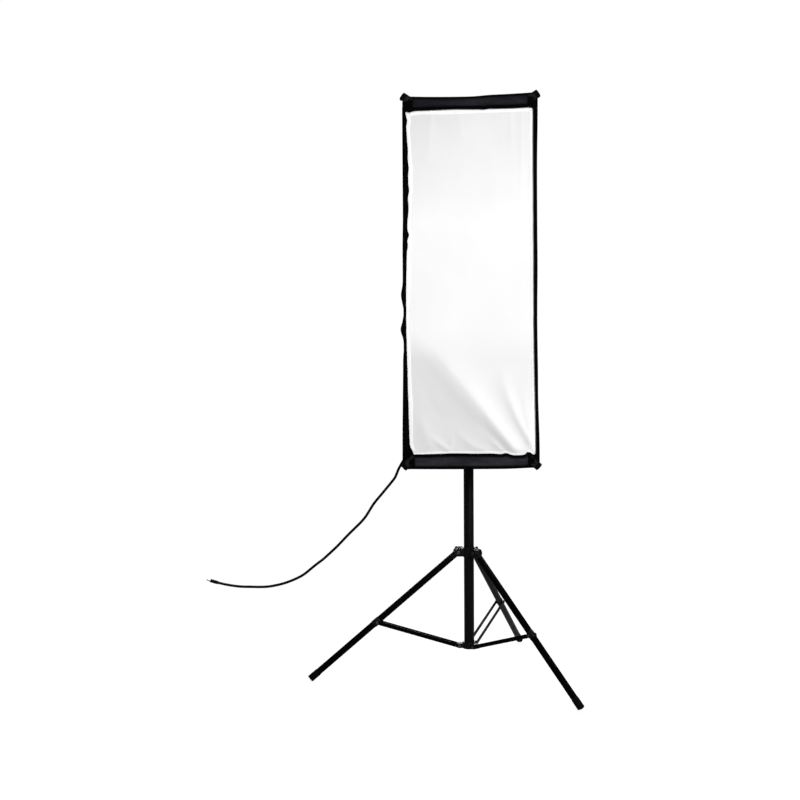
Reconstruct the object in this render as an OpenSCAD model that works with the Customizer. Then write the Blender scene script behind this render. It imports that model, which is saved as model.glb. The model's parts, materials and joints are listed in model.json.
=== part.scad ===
// Strip softbox on a light stand.
// A flexible LED mat sits in a shallow fabric box. Four bent rods stretch the box from a hub,
// and the hub tilts and turns on a three-section column with a folding tripod.
// The origin is on the floor under the column, +Z is up, and the box faces -Y.

/* [Fabric box] */
// Width of the box across its front
box_w = 350; // [335:1:370]
// Height of the box
box_h = 968; // [950:1:1000]
// Depth of the box from its back panel to its front border
box_depth = 104; // [90:1:115]
// Distance of the back panel in front of the column's axis
back_y = 110; // [109:0.5:114]
// Radius of the box's four upright corners
corner_r = 14; // [13:0.5:15]
// Height of the black band along the top and the bottom of the front
band_h = 37; // [25:1:60]
// Width of the black border down each side of the front
border_w = 11; // [8:0.5:20]
// Thickness of the padded outer fabric
cloth_t = 2.5; // [1.5:0.1:2.6]
// Width of the webbing at the corner pockets
webbing_w = 18; // [15:1:19]

/* [Light] */
// Width of the flexible LED mat
mat_w = 305; // [280:1:315]
// Height of the flexible LED mat
mat_h = 914; // [890:1:925]
// Thickness of the LED mat
mat_t = 3; // [2:0.1:3.2]
// Distance between neighbouring LEDs
led_pitch = 50; // [45:1:60]
// Diameter of the supply lead
lead_d = 6; // [5:0.1:6.2]
// Height above the box's lower edge at which the lead leaves its side
lead_exit = 15; // [15:1:25]
// Slope of the lead where it leaves the box, in degrees below level
lead_slope = 53; // [50:0.5:56]
// Length of the lead that hangs straight from the box
lead_straight = 264; // [250:1:280]
// Radius of the curve in the hanging lead
lead_curve_r = 330; // [310:5:350]
// Turn of the lead along that curve, in degrees
lead_turn = 69; // [64:0.5:72]

/* [Column] */
// Outer diameter of the main tube
main_d = 28; // [28:0.1:28.4]
// Outer diameter of the middle tube
mid_d = 24; // [23.6:0.1:24]
// Outer diameter of the top tube
top_d = 20; // [19.6:0.1:20]
// Wall of all three tubes
tube_wall = 1.2; // [1:0.05:1.3]
// Height of the tilt axis above the floor, with both sections raised as below
pivot_z = 1087; // [1067:1:1107]
// Height to which the middle section is raised
mid_raise = 115; // [105:1:130]
// Height to which the top section is raised
top_raise = 110; // [105:1:120]
// Diameter of the stud that carries the head
stud_d = 16; // [15.8:0.05:16]
// Bore for an umbrella shaft
umbrella_d = 8.5; // [8.1:0.1:9]

/* [Tripod] */
// Radius of the circle on which the three legs' axes end
foot_circle_r = 445; // [425:1:465]
// Diameter of the leg tubes
leg_d = 18; // [17.4:0.1:18]
// Height of the leg pivots with the tripod open
collar_z = 348; // [335:1:355]
// Height of the brace pivots
bracket_z = 86; // [84:1:91]
// Share of the leg, from its pivot, at which the brace meets it
clip_share = 0.552; // [0.54:0.001:0.57]
// Direction of the first leg, in degrees from +X
leg_azimuth = 67.5; // [60:0.5:80]
// Height of a brace strip
strip_h = 11; // [10:0.5:14]
// Thickness of a brace strip
strip_t = 2; // [1.5:0.1:2.5]

/* [Hidden] */
$fn = 64;

// Clearances
run = 0.05;
seat = 0.02;
gap = 0.2;

// Column heights
plug_z = 79;
plug_rim = 3.5;
main_top = 666;
collar_seat = 20;
collar_h = 58;
section_gap = 10;
glide_h = 8;
mid_bottom = plug_z + section_gap + mid_raise;
mid_len = main_top + collar_h + 2 - plug_z - section_gap;
mid_top = mid_bottom + mid_len;
top_bottom = mid_bottom + section_gap + top_raise;
stud_base_z = pivot_z - 82;
flange_h = 5;
top_top = stud_base_z - flange_h;
stud_h = 38;
lock_z = 35;

// Tripod
leg_count = 3;
pivot_r = 32;
bracket_r = 30;
foot_axis_z = 5.6;
leg_dx = foot_circle_r - pivot_r;
leg_dz = collar_z - foot_axis_z;
leg_len = norm([leg_dx, leg_dz]);
leg_open = atan2(leg_dx, leg_dz);
clip_d = clip_share * leg_len;
brace_dx = pivot_r + clip_share * leg_dx - bracket_r;
brace_dz = collar_z - clip_share * leg_dz - bracket_z;
brace_len = norm([brace_dx, brace_dz]);
brace_open = atan2(brace_dx, brace_dz);
clip_half = leg_d / 2 + 1.2;
strip_in = clip_half + 0.1;
strip_out = strip_in + strip_t;
rivet_r = 2.5;
leg_pin_r = 3;
ear_in = leg_d / 2 + 0.6;
ear_t = 2.8;
boot_wall = 0.8;
knob_azimuth = 60;

// Head
ear_x = 12.5;
ear_w = 6.5;
ear_r = 16;
bolt_r = 4;
umbrella_z = pivot_z - 30;
block_y = 15;
clamp_z = stud_base_z + 18;
arm_y = 61;
plate_t = 6;
plate_side = 64;
screw_in = 23;
hub_t = 22;
hub_r = 42;
rod_y = arm_y + plate_t + 13;
barrel_r = 8;
barrel_end = 80;

// Rods
rod_d = 5;
rod_lean = 5;
elbow_r = 12;
rod_in = 40;
socket_play = 0.35;
tip_r = 3.3;
tip_inset = 2;
corner_gap = corner_r * (sqrt(2) - 1);
rod_x = box_w / 2 - tip_inset / sqrt(2);
rod_h = box_h / 2 - tip_inset / sqrt(2);
rod_reach = norm([rod_x, rod_h]);
rod_spread = atan2(rod_x, rod_h);
bow_r = 4800;
elbow_start_z = rod_reach - elbow_r * (1 - sin(rod_lean));
bow_turn = rod_lean - asin(sin(rod_lean) - (elbow_start_z - rod_in) / bow_r);
elbow_start_y = rod_y + bow_r * (cos(rod_lean - bow_turn) - cos(rod_lean));
elbow_end_y = elbow_start_y + elbow_r * cos(rod_lean);
front_y = back_y + box_depth;
tip_y = front_y - 1.2;
forward_l = tip_y - elbow_end_y - 2.2;

// Lead
lead_y = back_y + 18;
lead_x = -box_w / 2;
lead_z = pivot_z - box_h / 2 + lead_exit;
lead_inside = 52;
boot_l = 20;
plug_l = 16;
barrel_l = 9.5;
barrel_d = 5.5;

// A ring standing on z = 0
module ring(r_out, r_in, h) {
    difference() {
        cylinder(r = r_out, h = h);
        translate([0, 0, -1]) cylinder(r = r_in, h = h + 2);
    }
}

// A tube on the column's axis between two heights
module column_tube(d, z0, z1) {
    translate([0, 0, z0]) ring(d / 2, d / 2 - tube_wall, z1 - z0);
}

// A bar along Y, centred on the XZ plane
module across(r, half) {
    rotate([90, 0, 0]) cylinder(r = r, h = 2 * half, center = true);
}

// A pair of equal plates, one each side of the XZ plane, from y = inner to y = outer
module both_sides(inner, outer) {
    for (side = [-1, 1]) {
        translate([0, side * (inner + outer) / 2, 0])
            rotate([90, 0, 0])
            linear_extrude(outer - inner, center = true) children();
    }
}

// Turns children from the +X side to leg number i
module at_leg(i) {
    rotate([0, 0, leg_azimuth + 120 * i]) children();
}

// The leg's own frame: its pivot at the origin and the leg along -Z
module leg_frame(i) {
    at_leg(i) translate([pivot_r, 0, collar_z]) rotate([0, -leg_open, 0]) children();
}

// The brace's own frame: its lower pivot at the origin and the brace along +Z
module brace_frame(i) {
    at_leg(i) translate([bracket_r, 0, bracket_z]) rotate([0, brace_open, 0]) children();
}

// A star knob with its screw along -X and its hub starting at x = 0
module star_knob(screw_r, screw_l, knob_r = 13, lobes = 5) {
    lobe_r = knob_r * 0.42;
    grip_l = 13;
    rotate([0, 90, 0]) {
        translate([0, 0, -screw_l]) cylinder(r = screw_r, h = screw_l + 1);
        cylinder(r1 = knob_r * 0.55, r2 = knob_r * 0.72, h = 8);
        translate([0, 0, 8]) linear_extrude(grip_l) {
            circle(knob_r * 0.86);
            for (i = [0 : lobes - 1]) {
                rotate(i * 360 / lobes) translate([knob_r * 0.8, 0]) circle(lobe_r);
            }
        }
        translate([0, 0, 8 + grip_l]) cylinder(r1 = knob_r * 0.7, r2 = knob_r * 0.45, h = 2.5);
    }
}

// ---- Base of the column ----

module main_tube() {
    color("#1b1c1e") column_tube(main_d, plug_z, main_top);
}

module foot_plug() {
    bore_r = main_d / 2 - tube_wall;
    color("#161718") {
        translate([0, 0, plug_z - plug_rim]) rotate_extrude()
            polygon([[0, 0], [main_d / 2 - 1.5, 0], [main_d / 2, 1.5], [main_d / 2, plug_rim], [0, plug_rim]]);
        translate([0, 0, plug_z]) cylinder(r = bore_r - seat, h = 12);
    }
}

module bottom_bracket() {
    lug_h = 13;
    half = 9.5;
    bore_r = main_d / 2 + seat;
    color("#18191b") difference() {
        union() {
            translate([0, 0, bracket_z - half]) rotate_extrude() polygon([
                [10, 0], [17, 0], [18.5, 1.5], [18.5, 2 * half - 1.5], [17, 2 * half], [10, 2 * half]
            ]);
            for (i = [0 : leg_count - 1]) {
                at_leg(i) {
                    translate([14, -strip_in + 0.15, bracket_z - lug_h / 2])
                        cube([bracket_r - 14, 2 * strip_in - 0.3, lug_h]);
                    translate([bracket_r, 0, bracket_z]) across(lug_h / 2, strip_in - 0.15);
                }
            }
        }
        translate([0, 0, bracket_z - 20]) cylinder(r = bore_r, h = 50);
        for (i = [0 : leg_count - 1]) {
            at_leg(i) translate([bracket_r, 0, bracket_z]) across(rivet_r + seat, 20);
        }
    }
}

// The rolled head of a tubular rivet
module rivet_head(r) {
    difference() {
        circle(r);
        circle(1.4);
    }
}

// Rivets on which the braces turn
module bracket_pins() {
    color("#b9bcc0") for (i = [0 : leg_count - 1]) {
        at_leg(i) translate([bracket_r, 0, bracket_z]) {
            across(rivet_r, strip_out + 0.3);
            both_sides(strip_out + 0.25, strip_out + 1.7) rivet_head(4);
        }
    }
}

// A plastic lock collar: the lower bore takes the outer tube, the upper one the inner tube
module lock_collar(outer_r, inner_r, bush_r) {
    wall = 3.6;
    r = bush_r + wall;
    low_r = outer_r + wall - 0.4;
    difference() {
        union() {
            rotate_extrude() polygon([
                [outer_r - 2, 0], [low_r - 1.5, 0], [low_r, 1.5], [low_r, collar_seat - 4], [r, collar_seat],
                [r, collar_h - 6], [r - 3, collar_h], [inner_r - 2, collar_h],
                [inner_r - 2, collar_seat], [outer_r - 2, collar_seat]
            ]);
            translate([0, 0, lock_z]) rotate([0, 90, 0]) cylinder(r = 10, h = r + 9);
            for (z = [lock_z - 12, lock_z + 12]) {
                translate([0, 0, z - 1.2]) ring(r + 1, r - 1, 2.4);
            }
        }
        translate([0, 0, -1]) cylinder(r = outer_r + seat, h = collar_seat + 1);
        translate([0, 0, collar_seat - 1]) cylinder(r = inner_r + 0.3, h = collar_h);
        translate([0, 0, collar_seat + 3]) cylinder(r = bush_r, h = collar_h - collar_seat - 13);
        translate([0, 0, lock_z]) rotate([0, 90, 0]) cylinder(r = bolt_r + run, h = 60);
    }
}

// The split sleeve that the lock's screw squeezes on the inner tube
module split_sleeve(bush_r, inner_r) {
    h = collar_h - collar_seat - 13.6;
    translate([0, 0, collar_seat + 3.3]) difference() {
        ring(bush_r - 0.1, inner_r + run, h);
        translate([-bush_r - 1, -1.5, -1]) cube([bush_r + 1, 3, h + 2]);
    }
}

module at_lower_lock() {
    translate([0, 0, main_top - collar_seat]) rotate([0, 0, leg_azimuth + knob_azimuth]) children();
}

module at_upper_lock() {
    translate([0, 0, mid_top - collar_seat]) rotate([0, 0, leg_azimuth + knob_azimuth]) children();
}

module lower_collar() {
    color("#151617") at_lower_lock() lock_collar(main_d / 2, mid_d / 2, mid_d / 2 + 4);
}

module lower_bushing() {
    color("#d9d7cf") at_lower_lock() split_sleeve(mid_d / 2 + 4, mid_d / 2);
}

module lower_knob() {
    boss = mid_d / 2 + 4 + 3.6 + 9;
    color("#121314") at_lower_lock() translate([boss + 1, 0, lock_z])
        star_knob(bolt_r, boss + 1 - mid_d / 2 - 4.2);
}

// ---- Folding tripod ----

module leg_collar() {
    half = 13;
    color("#18191b") difference() {
        union() {
            translate([0, 0, collar_z - half]) rotate_extrude() polygon([
                [12, 0], [18, 0], [19.5, 1.5], [19.5, 2 * half - 1.5], [18, 2 * half], [12, 2 * half]
            ]);
            for (i = [0 : leg_count - 1]) {
                at_leg(i) translate([0, 0, collar_z]) {
                    both_sides(ear_in, ear_in + ear_t) {
                        translate([14, -11]) square([pivot_r - 14, 22]);
                        translate([pivot_r, 0]) circle(11);
                    }
                    translate([14, -ear_in - 1, -11]) cube([6.5, 2 * ear_in + 2, 22]);
                }
            }
            rotate([0, 0, leg_azimuth + knob_azimuth])
                translate([0, 0, collar_z]) rotate([0, 90, 0]) cylinder(r = 8, h = 30);
        }
        translate([0, 0, collar_z - half - 1]) cylinder(r = main_d / 2 + run, h = 2 * half + 2);
        for (i = [0 : leg_count - 1]) {
            at_leg(i) translate([pivot_r, 0, collar_z]) across(leg_pin_r + seat, 20);
        }
        rotate([0, 0, leg_azimuth + knob_azimuth])
            translate([0, 0, collar_z]) rotate([0, 90, 0]) cylinder(r = bolt_r + run, h = 40);
    }
}

// Rivets on which the legs turn
module leg_pins() {
    color("#b9bcc0") for (i = [0 : leg_count - 1]) {
        at_leg(i) translate([pivot_r, 0, collar_z]) {
            across(leg_pin_r, ear_in + ear_t + 0.1);
            both_sides(ear_in + ear_t + 0.02, ear_in + ear_t + 1.6) rivet_head(4.6);
        }
    }
}

module leg_collar_knob() {
    color("#121314") rotate([0, 0, leg_azimuth + knob_azimuth])
        translate([31, 0, collar_z]) star_knob(bolt_r, 31 - main_d / 2 - 0.4, 10);
}

// The moulded hinge end of a leg, half inside its tube
module leg_end(i) {
    half = leg_d / 2;
    color("#151617") leg_frame(i) difference() {
        union() {
            across(half, half);
            translate([0, 0, -22]) cylinder(r = half, h = 22);
            translate([0, 0, -40]) cylinder(r = half - tube_wall - seat, h = 18.1);
        }
        across(leg_pin_r + run, 20);
    }
}

module leg_tube(i) {
    color("#1b1c1e") leg_frame(i) translate([0, 0, -leg_len + 5])
        ring(leg_d / 2, leg_d / 2 - tube_wall, leg_len - 27.1);
}

// The sleeve on a leg that carries the brace
module leg_clip(i) {
    half = 11;
    color("#151617") leg_frame(i) translate([0, 0, -clip_d]) difference() {
        union() {
            translate([0, 0, -half]) rotate_extrude() polygon([
                [7, 0], [leg_d / 2 + 0.4, 0], [clip_half - 0.2, 1], [clip_half - 0.2, 2 * half - 1],
                [leg_d / 2 + 0.4, 2 * half], [7, 2 * half]
            ]);
            across(6, clip_half);
        }
        translate([0, 0, -20]) cylinder(r = leg_d / 2 + seat, h = 40);
    }
}

// The rubber boot on the end of a leg, cut level where it stands on the floor
module foot(i) {
    r = leg_d / 2 + boot_wall;
    color("#0e0e0f") difference() {
        leg_frame(i) translate([0, 0, -leg_len]) difference() {
            rotate_extrude() polygon([[0, 0], [r, 0], [r, 29], [r - boot_wall / 2, 30], [0, 30]]);
            translate([0, 0, 4.9]) cylinder(r = leg_d / 2 + seat, h = 40);
        }
        translate([-700, -700, -50]) cube([1400, 1400, 50]);
    }
}

// A pair of flat strips, one each side of the leg
module brace(i) {
    color("#1a1b1d") brace_frame(i) rotate([0, 90, 0]) rotate([0, 0, 180]) {
        both_sides(strip_in, strip_out) difference() {
            union() {
                translate([0, -strip_h / 2]) square([brace_len, strip_h]);
                circle(strip_h / 2);
                translate([brace_len, 0]) circle(strip_h / 2);
            }
            circle(rivet_r + run);
            translate([brace_len, 0]) circle(rivet_r + run);
        }
    }
}

// The stub rivets at the upper end of a brace. Each ends level with the strip's inner face,
// so that the strips can pass along the leg while the tripod folds.
module brace_rivets(i) {
    color("#b9bcc0") brace_frame(i) translate([0, 0, brace_len]) {
        both_sides(strip_in + 0.02, strip_out + 0.1) circle(rivet_r);
        both_sides(strip_out + 0.02, strip_out + 1.6) rivet_head(4);
    }
}

module leg_end_rear() { leg_end(0); }
module leg_end_left() { leg_end(1); }
module leg_end_right() { leg_end(2); }
module leg_tube_rear() { leg_tube(0); }
module leg_tube_left() { leg_tube(1); }
module leg_tube_right() { leg_tube(2); }
module leg_clip_rear() { leg_clip(0); }
module leg_clip_left() { leg_clip(1); }
module leg_clip_right() { leg_clip(2); }
module foot_rear() { foot(0); }
module foot_left() { foot(1); }
module foot_right() { foot(2); }
module brace_rear() { brace(0); }
module brace_left() { brace(1); }
module brace_right() { brace(2); }
module brace_rivets_rear() { brace_rivets(0); }
module brace_rivets_left() { brace_rivets(1); }
module brace_rivets_right() { brace_rivets(2); }

// ---- Upper sections of the column ----

// The plug on a sliding tube's lower end, which guides it in the tube around it
module glide(tube_d, outer_bore_r, z) {
    translate([0, 0, z - glide_h]) cylinder(r = outer_bore_r - 0.1, h = glide_h);
    translate([0, 0, z]) cylinder(r = tube_d / 2 - tube_wall - seat, h = glide_h);
}

module mid_tube() {
    color("#1b1c1e") column_tube(mid_d, mid_bottom, mid_top);
}

module mid_glide() {
    color("#d9d7cf") glide(mid_d, main_d / 2 - tube_wall, mid_bottom);
}

module upper_collar() {
    color("#151617") at_upper_lock() lock_collar(mid_d / 2, top_d / 2, top_d / 2 + 4);
}

module upper_bushing() {
    color("#d9d7cf") at_upper_lock() split_sleeve(top_d / 2 + 4, top_d / 2);
}

module upper_knob() {
    boss = top_d / 2 + 4 + 3.6 + 9;
    color("#121314") at_upper_lock() translate([boss + 1, 0, lock_z])
        star_knob(bolt_r, boss + 1 - top_d / 2 - 4.2);
}

module top_tube() {
    color("#1b1c1e") column_tube(top_d, top_bottom, top_top);
}

module top_glide() {
    color("#d9d7cf") glide(top_d, mid_d / 2 - tube_wall, top_bottom);
}

// The standard stud, with the waist that the clamp screw bears in
module spigot() {
    r = stud_d / 2;
    plug_r = top_d / 2 - tube_wall - seat;
    color("#c4c6c9") translate([0, 0, stud_base_z]) rotate_extrude() polygon([
        [0, -30], [plug_r, -30], [plug_r, -flange_h], [top_d / 2, -flange_h], [top_d / 2, 0],
        [r, 0], [r, 12], [r - 1.5, 14], [r - 1.5, 22], [r, 24], [r, stud_h - 1], [r - 1, stud_h], [0, stud_h]
    ]);
}

// ---- Turning and tilting head ----

module receiver() {
    color("#161718") difference() {
        union() {
            translate([0, 0, stud_base_z + 0.5]) rotate_extrude() polygon([
                [0, 0], [15.5, 0], [17, 1.5], [17, 44], [0, 44]
            ]);
            translate([-ear_x - ear_w, -block_y, pivot_z - 42]) cube([2 * (ear_x + ear_w), 2 * block_y, 24]);
            for (side = [-1, 1]) {
                translate([side * (ear_x + ear_w / 2), 0, pivot_z]) rotate([0, 90, 0]) {
                    cylinder(r = ear_r, h = ear_w, center = true);
                    translate([0, -block_y, -ear_w / 2]) cube([36, 2 * block_y, ear_w]);
                }
            }
            translate([0, 0, clamp_z]) rotate([-90, 0, 0]) cylinder(r = 10, h = 24);
        }
        translate([0, 0, stud_base_z - 1]) cylinder(r = stud_d / 2 + run, h = stud_h + 3);
        translate([0, 0, pivot_z]) rotate([0, 90, 0]) cylinder(r = bolt_r + seat, h = 80, center = true);
        translate([0, 0, umbrella_z]) across(umbrella_d / 2, 40);
        translate([0, 0, clamp_z]) rotate([-90, 0, 0]) cylinder(r = bolt_r + run, h = 40);
        translate([0, 0, umbrella_z]) rotate([0, -90, 0]) cylinder(r = 3 + run, h = 40);
    }
}

module receiver_knob() {
    color("#121314") translate([0, 25, clamp_z]) rotate([0, 0, 90]) star_knob(bolt_r, 25 - stud_d / 2 - 0.4);
}

// The thumb screw that holds an umbrella shaft
module umbrella_screw() {
    x = ear_x + ear_w + 1.5;
    color("#121314") translate([-x, 0, umbrella_z]) rotate([0, 0, 180])
        star_knob(3, x - umbrella_d / 2 - 0.4, 8, 4);
}

module tilt_bolt() {
    head_x = ear_x + ear_w;
    color("#b9bcc0") translate([0, 0, pivot_z]) rotate([0, 90, 0]) {
        translate([0, 0, -head_x - 0.1]) cylinder(r = bolt_r, h = 2 * head_x + 10);
        translate([0, 0, -head_x - 5.1]) cylinder(r = 7.2, h = 5, $fn = 6);
    }
}

// The clamping lever on the bolt's free end
module tilt_lever() {
    x = ear_x + ear_w + 0.4;
    color("#121314") translate([x, 0, pivot_z]) rotate([0, 90, 0]) difference() {
        union() {
            cylinder(r1 = 9, r2 = 11, h = 4);
            translate([0, 0, 4]) cylinder(r = 11, h = 9);
            translate([0, 0, 13]) cylinder(r1 = 11, r2 = 8, h = 2.5);
            translate([0, -5, 5]) cube([46, 10, 7]);
            translate([46, 0, 5]) cylinder(r = 5, h = 7);
        }
        translate([0, 0, -1]) cylinder(r = bolt_r + run, h = 11.2);
    }
}

module tilt_arm() {
    color("#18191b") translate([0, 0, pivot_z]) difference() {
        union() {
            rotate([0, 90, 0]) cylinder(r = 15.5, h = 2 * ear_x - 0.6, center = true);
            translate([-ear_x + 0.3, -arm_y, -11]) cube([2 * ear_x - 0.6, arm_y, 22]);
            translate([-plate_side / 2, -arm_y - plate_t, -plate_side / 2])
                cube([plate_side, plate_t, plate_side]);
            for (side = [-1, 1]) {
                translate([-4, -arm_y, side * 11]) rotate([0, 90, 0])
                    linear_extrude(8) polygon([[0, 0], [-side * 18, 0], [0, 30]]);
            }
        }
        rotate([0, 90, 0]) cylinder(r = bolt_r + run, h = 80, center = true);
        for (x = [-screw_in, screw_in], z = [-screw_in, screw_in]) {
            translate([x, -arm_y, z]) across(2.6, 20);
        }
    }
}

// Turns the diagonal towards one corner of the box to +Z
module to_corner(side, up, angle) {
    rotate([0, up > 0 ? side * angle : 180 - side * angle, 0]) children();
}

module each_rod() {
    for (side = [-1, 1], up = [-1, 1]) {
        translate([0, 0, pivot_z]) to_corner(side, up, rod_spread) children();
    }
}

module hub() {
    y = arm_y + plate_t;
    color("#141516") difference() {
        union() {
            translate([0, -y - 0.1, pivot_z]) rotate([90, 0, 0]) rotate_extrude() polygon([
                [0, 0], [hub_r - 1.5, 0], [hub_r, 1.5], [hub_r, hub_t - 4], [hub_r - 4, hub_t], [0, hub_t]
            ]);
            each_rod() translate([0, -rod_y, 20]) cylinder(r = barrel_r, h = barrel_end - 20);
        }
        each_rod() translate([0, -rod_y, rod_in - 1]) cylinder(r = rod_d / 2 + socket_play, h = 60);
        for (x = [-screw_in, screw_in], z = [-screw_in, screw_in]) {
            translate([x, -y, pivot_z + z]) across(2.5 + seat, 10);
        }
    }
}

module hub_screws() {
    color("#b9bcc0") for (x = [-screw_in, screw_in], z = [-screw_in, screw_in]) {
        translate([x, -arm_y, pivot_z + z]) rotate([90, 0, 0]) {
            translate([0, 0, -0.1]) cylinder(r = 2.5, h = plate_t + 9);
            translate([0, 0, -3.3]) cylinder(r = 4.4, h = 3.2);
        }
    }
}

// A round bar bent about X, its centre of bend at the origin, from an angle above +Y
module bent(bend_r, first, turn) {
    rotate([90, 0, 90]) rotate_extrude(start = first, angle = turn) translate([bend_r, 0]) circle(d = rod_d);
}

// The springy rods leave the hub along the box's diagonals and bow forward
module rods() {
    color("#2a2b2d") each_rod() translate([0, -elbow_start_y, elbow_start_z])
        rotate([rod_lean, 0, 0]) translate([0, -bow_r, 0]) bent(bow_r, -bow_turn, bow_turn);
}

// The bent metal ends, socketed on the rods, that turn the corners of the box
module rod_ends() {
    sleeve_r = rod_d / 2 + 1;
    sleeve_l = 18;
    color("#3a3b3d") each_rod() translate([0, -elbow_end_y, rod_reach - elbow_r]) {
        difference() {
            union() {
                bent(elbow_r, rod_lean, 90 - rod_lean);
                rotate([rod_lean, 0, 0]) translate([0, elbow_r, -sleeve_l])
                    cylinder(r = sleeve_r, h = sleeve_l + 1.5);
            }
            rotate([rod_lean, 0, 0]) translate([0, elbow_r, -sleeve_l - 1])
                cylinder(r = rod_d / 2 + run, h = sleeve_l + 1.1);
        }
        translate([0, 0, elbow_r]) rotate([90, 0, 0]) cylinder(d = rod_d, h = forward_l);
    }
}

module rod_tips() {
    cap_l = 22;
    color("#0f1011") each_rod() {
        translate([0, -tip_y + cap_l, rod_reach]) rotate([90, 0, 0]) difference() {
            cylinder(r = tip_r, h = cap_l);
            translate([0, 0, -1]) cylinder(r = rod_d / 2 + seat, h = cap_l - 0.9);
        }
    }
}

// ---- Fabric box and light ----

module round_rect(w, h, r) {
    square([w - 2 * r, h], center = true);
    square([w, h - 2 * r], center = true);
    for (x = [-1, 1], z = [-1, 1]) {
        translate([x * (w / 2 - r), z * (h / 2 - r)]) circle(r);
    }
}

// The box's outline, drawn in by some distance
module outline(inset) {
    round_rect(box_w - 2 * inset, box_h - 2 * inset, corner_r - inset);
}

// Extrudes an upright shape forward from y = -back by a depth
module upright(back, depth) {
    translate([0, -back, pivot_z]) rotate([90, 0, 0]) linear_extrude(depth) children();
}

// The lead's own frame: where it leaves the box's side, with +Z along the lead
module lead_frame() {
    translate([lead_x, -lead_y, lead_z]) rotate([0, -90 - lead_slope, 0]) children();
}

// A bar along the lead where it passes through the box's side
module lead_bar(r, inside, outside) {
    lead_frame() translate([0, 0, -inside]) cylinder(r = r, h = inside + outside);
}

module back_panel() {
    color("#1d1e20") upright(back_y, cloth_t) outline(cloth_t + gap);
}

module led_mat() {
    color("#26282b") upright(back_y + cloth_t + gap, mat_t) square([mat_w, mat_h], center = true);
}

module led_chips() {
    margin = 60;
    across_n = floor((mat_w - margin) / led_pitch);
    up_n = floor((mat_h - margin) / led_pitch);
    chip = 6;
    color("#e8d27a") for (i = [0 : across_n], j = [0 : up_n]) {
        upright(back_y + cloth_t + gap + mat_t, 1.2)
            translate([(i - across_n / 2) * led_pitch, (j - up_n / 2) * led_pitch])
            square(chip, center = true);
    }
}

// The block on the mat's corner in which the lead ends
module lead_terminal() {
    back = back_y + cloth_t + gap + mat_t;
    color("#101112") difference() {
        translate([lead_x + 24, -back - 17, lead_z + 22]) cube([30, 17, 26]);
        lead_bar(lead_d / 2 + seat, lead_inside + 0.2, 0);
    }
}

module skirt() {
    color("#17181a") difference() {
        upright(back_y, box_depth) difference() {
            outline(0);
            outline(cloth_t);
        }
        lead_bar(lead_d / 2 + 0.6, 12, 12);
    }
}

module lining() {
    back = back_y + cloth_t + mat_t + gap + 3;
    color("#cfd2d6") difference() {
        upright(back, front_y - 2.4 - back) difference() {
            outline(cloth_t + gap);
            outline(cloth_t + gap + 1);
        }
        lead_bar(lead_d / 2 + 0.6, 16, 12);
    }
}

module diffuser() {
    color("#f4f4f2") upright(front_y - 2, 1.6) outline(cloth_t + gap);
}

module front_border() {
    color("#17181a") upright(front_y, 2) difference() {
        outline(0);
        square([box_w - 2 * border_w, box_h - 2 * band_h], center = true);
    }
}

// A folded strip of webbing over each rod's tip, sewn to the front border
module corner_pockets() {
    flap_t = 2;
    flap_l = 34;
    outer = 3.3;
    block_l = outer + corner_gap - gap;
    color("#101112") for (side = [-1, 1], up = [-1, 1]) {
        translate([side * box_w / 2, -front_y - 2 - gap, pivot_z + up * box_h / 2])
            to_corner(side, up, 45) difference() {
                union() {
                    translate([-webbing_w / 2, -flap_t, outer - flap_l]) cube([webbing_w, flap_t, flap_l]);
                    translate([-webbing_w / 2, -0.5, outer - block_l]) cube([webbing_w, 20, block_l]);
                }
                translate([0, 2, -tip_inset]) rotate([-90, 0, 0]) cylinder(r = tip_r + run, h = 40);
            }
    }
}

module lead_boot() {
    color("#0e0f10") difference() {
        lead_frame() translate([0, 0, -6]) cylinder(r1 = 6.6, r2 = 4.2, h = boot_l + 6);
        lead_bar(lead_d / 2 + seat, 20, 40);
        translate([lead_x - gap, -lead_y - 20, lead_z - 20]) cube([40, 40, 60]);
    }
}

// Moves children to the end of the lead's curve, with +Z along the lead
module at_lead_end() {
    lead_frame() translate([lead_curve_r, 0, lead_straight])
        rotate([0, lead_turn, 0]) translate([-lead_curve_r, 0, 0]) children();
}

module lead() {
    color("#0f1011") {
        lead_bar(lead_d / 2, lead_inside, lead_straight);
        lead_frame() translate([lead_curve_r, 0, lead_straight])
            rotate([90, 0, 0]) rotate_extrude(start = 180 - lead_turn, angle = lead_turn)
            translate([lead_curve_r, 0]) circle(d = lead_d);
    }
}

module plug_shell() {
    grip = 8;
    color("#0f1011") at_lead_end() difference() {
        translate([0, 0, -grip]) rotate_extrude() polygon([
            [0, 0], [4, 0], [4.7, 6], [4.7, grip + plug_l - 1], [4.1, grip + plug_l], [0, grip + plug_l]
        ]);
        translate([0, 0, -grip - 1]) cylinder(r = lead_d / 2 + 3 * run, h = grip + 1.2);
    }
}

module plug_barrel() {
    color("#c4c6c9") at_lead_end() translate([0, 0, plug_l])
        difference() {
            cylinder(d = barrel_d, h = barrel_l);
            translate([0, 0, 1]) cylinder(d = 2.1, h = barrel_l);
        }
}

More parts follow.
